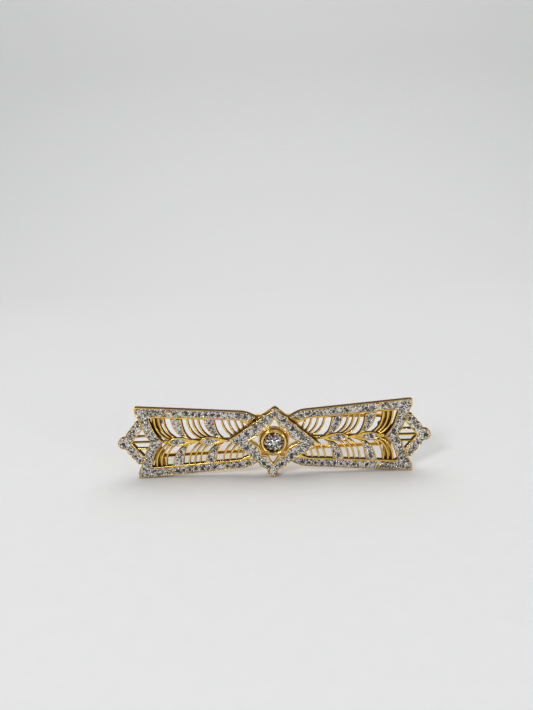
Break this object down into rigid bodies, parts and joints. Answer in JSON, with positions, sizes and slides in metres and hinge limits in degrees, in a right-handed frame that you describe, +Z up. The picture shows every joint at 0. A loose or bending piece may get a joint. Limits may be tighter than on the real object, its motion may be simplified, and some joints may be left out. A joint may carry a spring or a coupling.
{
  "type": "hair clip",
  "caption": "Openwork two-wing hair clip in yellow gold with stone-set white facings, a raised lozenge cluster, a hinged wire arm behind and a roll-over safety catch.",
  "frame": {"origin": "centre of the bounding box at ground level, with the clip standing on its lower edge and rear feet", "axes": "+X along the clip to the viewer's right, -Y out of the decorated front, +Z up"},
  "size_m": [0.06, 0.0078, 0.0142],
  "materials": {
    "yellow_gold": "polished cast yellow gold",
    "white_gold": "rhodium-bright white gold, grain set",
    "small_stones": "cut rhinestone, clear",
    "centre_stone": "round brilliant-cut rhinestone, clear"
  },
  "bodies": {
    "plaque": {"left_wing_frame": "yellow_gold", "left_lattice": "yellow_gold", "left_upper_band": "white_gold", "left_lower_band": "white_gold", "left_tail_facing": "white_gold", "left_folds": "yellow_gold", "left_fan": "yellow_gold", "left_fan_facing": "white_gold", "left_leaf_settings": "yellow_gold", "left_leaf_facings": "white_gold", "left_navette_settings": "yellow_gold", "left_navette_facings": "white_gold", "left_band_stones": "small_stones", "left_tail_stones": "small_stones", "left_fan_stones": "small_stones", "left_leaf_stones": "small_stones", "left_navette_stones": "small_stones", "right_wing_frame": "yellow_gold", "right_lattice": "yellow_gold", "right_upper_band": "white_gold", "right_lower_band": "white_gold", "right_tail_facing": "white_gold", "right_folds": "yellow_gold", "right_fan": "yellow_gold", "right_fan_facing": "white_gold", "right_leaf_settings": "yellow_gold", "right_leaf_facings": "white_gold", "right_navette_settings": "yellow_gold", "right_navette_facings": "white_gold", "right_band_stones": "small_stones", "right_tail_stones": "small_stones", "right_fan_stones": "small_stones", "right_leaf_stones": "small_stones", "right_navette_stones": "small_stones", "cluster_base": "yellow_gold", "cluster_wall": "yellow_gold", "cluster_facing": "white_gold", "star_rim": "yellow_gold", "cluster_stones": "small_stones", "bezel_cup": "yellow_gold", "bezel_lip": "yellow_gold", "centre_stone": "centre_stone", "hinge_plate": "yellow_gold", "hinge_ears": "yellow_gold", "hinge_pin": "yellow_gold", "catch_plate": "yellow_gold", "catch_guard": "yellow_gold"},
    "arm": {"clasp_arm": "yellow_gold", "arm_eyes": "yellow_gold"},
    "safety": {"catch_rotor": "yellow_gold", "catch_lever": "yellow_gold"}
  },
  "joints": [
    {"name": "arm_hinge", "type": "hinge", "parent": "plaque", "child": "arm", "pos_m": [-0.0227, 0.00263, 0.0071], "axis": [0, 0, 1], "range_deg": [0, 95]},
    {"name": "safety_catch", "type": "hinge", "parent": "plaque", "child": "safety", "pos_m": [0.0219, 0.00263, 0.0071], "axis": [0, 0, 1], "range_deg": [0, 110]}
  ]
}
